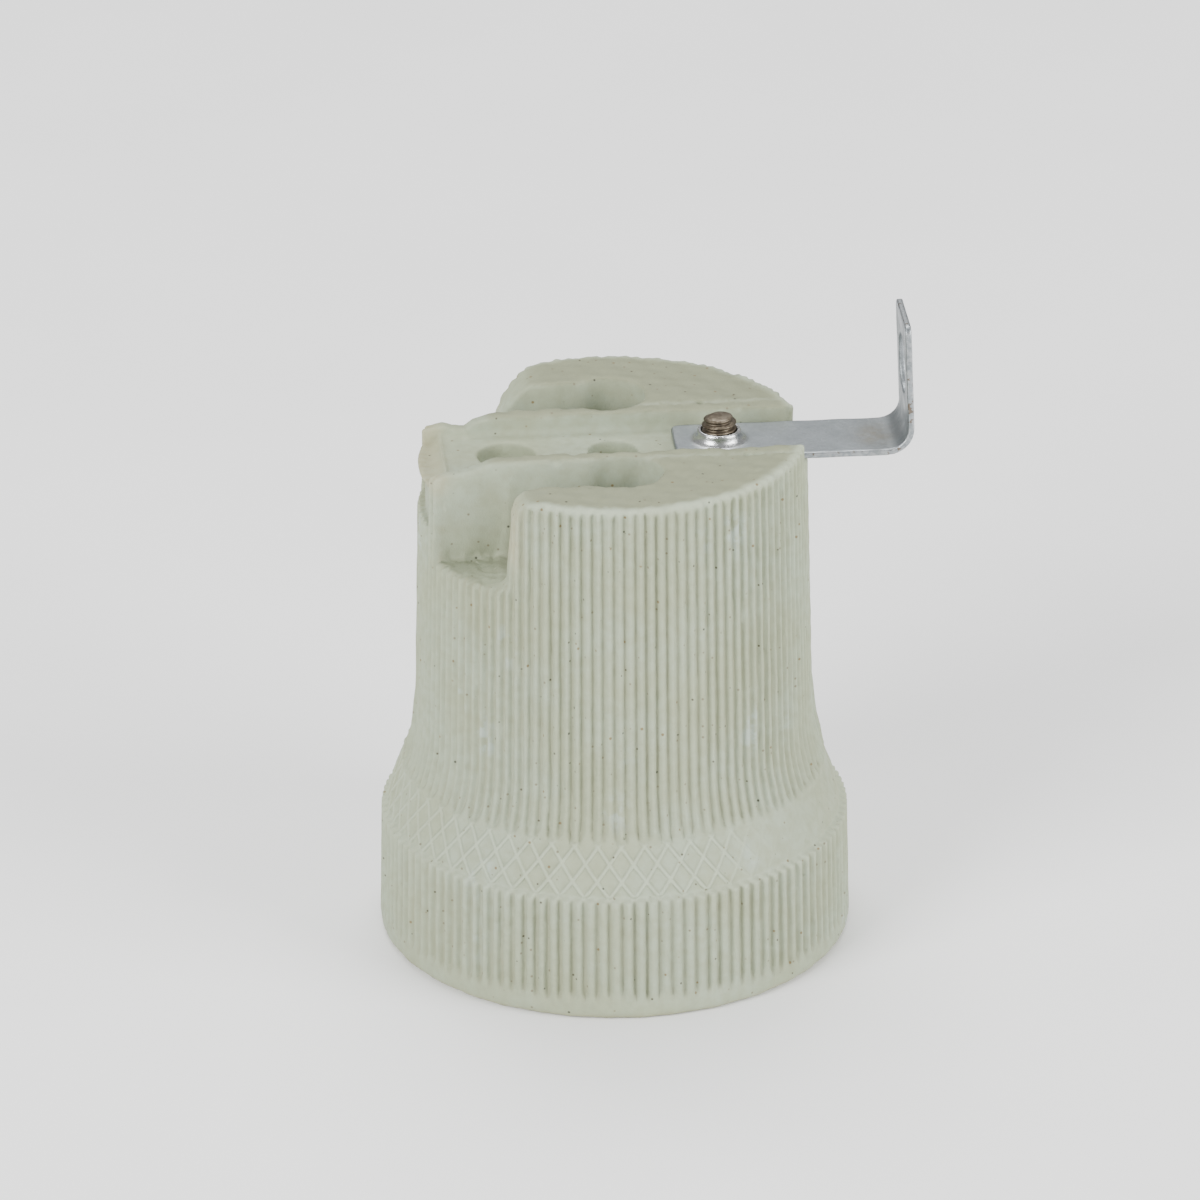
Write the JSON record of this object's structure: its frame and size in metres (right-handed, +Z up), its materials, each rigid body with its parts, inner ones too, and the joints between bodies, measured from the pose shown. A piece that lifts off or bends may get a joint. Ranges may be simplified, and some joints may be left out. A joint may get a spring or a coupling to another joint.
{
  "type": "lamp holder",
  "caption": "Ribbed porcelain screw lampholder standing on its mouth, with wire pockets on top and an L-shaped steel mounting bracket.",
  "frame": {"origin": "centre of the mouth rim, in the plane that the holder stands on", "axes": "+Z up the lamp axis from the mouth to the wire pockets, so a lamp goes in along +Z; +X along the top channel to the mounting bracket; +Y to the rear pocket"},
  "size_m": [0.0526, 0.047, 0.0639],
  "materials": {
    "porcelain": "matt, unglazed",
    "shell_metal": "rolled sheet, satin",
    "brass": "dull",
    "contact_metal": "bright spring sheet",
    "screw_steel": "plated, brownish",
    "zinc_plate": "zinc plated"
  },
  "bodies": {
    "holder": {"porcelain_body": "porcelain", "screw_shell": "shell_metal", "front_terminal_plate": "brass", "rear_terminal_plate": "brass", "front_terminal_rivet": "brass", "rear_inner_rivet": "brass", "rear_outer_rivet": "brass", "centre_contact_spring": "contact_metal", "mounting_bracket": "zinc_plate", "bracket_screw": "screw_steel", "bracket_spring_washer": "screw_steel", "bracket_flat_washer": "zinc_plate"},
    "front_clamp_part": {"front_wire_clamp": "screw_steel"},
    "front_screw_part": {"front_terminal_screw": "screw_steel"},
    "rear_clamp_part": {"rear_wire_clamp": "screw_steel"},
    "rear_screw_part": {"rear_terminal_screw": "screw_steel"},
    "button_part": {"contact_button": "contact_metal"}
  },
  "joints": [
    {"name": "front_screw_turn", "type": "hinge", "parent": "front_clamp_part", "child": "front_screw_part", "pos_m": [0.0003, -0.00928, 0.0445], "axis": [0, 0, 1], "range_deg": [0, 1440]},
    {"name": "front_clamp_lift", "type": "slide", "parent": "holder", "child": "front_clamp_part", "axis": [0, 0, 1], "range_m": [0, 0.0024]},
    {"name": "rear_screw_turn", "type": "hinge", "parent": "rear_clamp_part", "child": "rear_screw_part", "pos_m": [0.0003, 0.00928, 0.0445], "axis": [0, 0, 1], "range_deg": [0, 1440]},
    {"name": "rear_clamp_lift", "type": "slide", "parent": "holder", "child": "rear_clamp_part", "axis": [0, 0, 1], "range_m": [0, 0.0024]},
    {"name": "contact_press", "type": "slide", "parent": "holder", "child": "button_part", "axis": [0, 0, 1], "range_m": [0, 0.002], "stiffness_N_per_m": 2500, "deforming": ["centre_contact_spring"]}
  ],
  "couplings": [
    {"joint": "front_screw_turn", "follows": "front_clamp_lift", "rad_per_m": 10472},
    {"joint": "rear_screw_turn", "follows": "rear_clamp_lift", "rad_per_m": 10472}
  ]
}
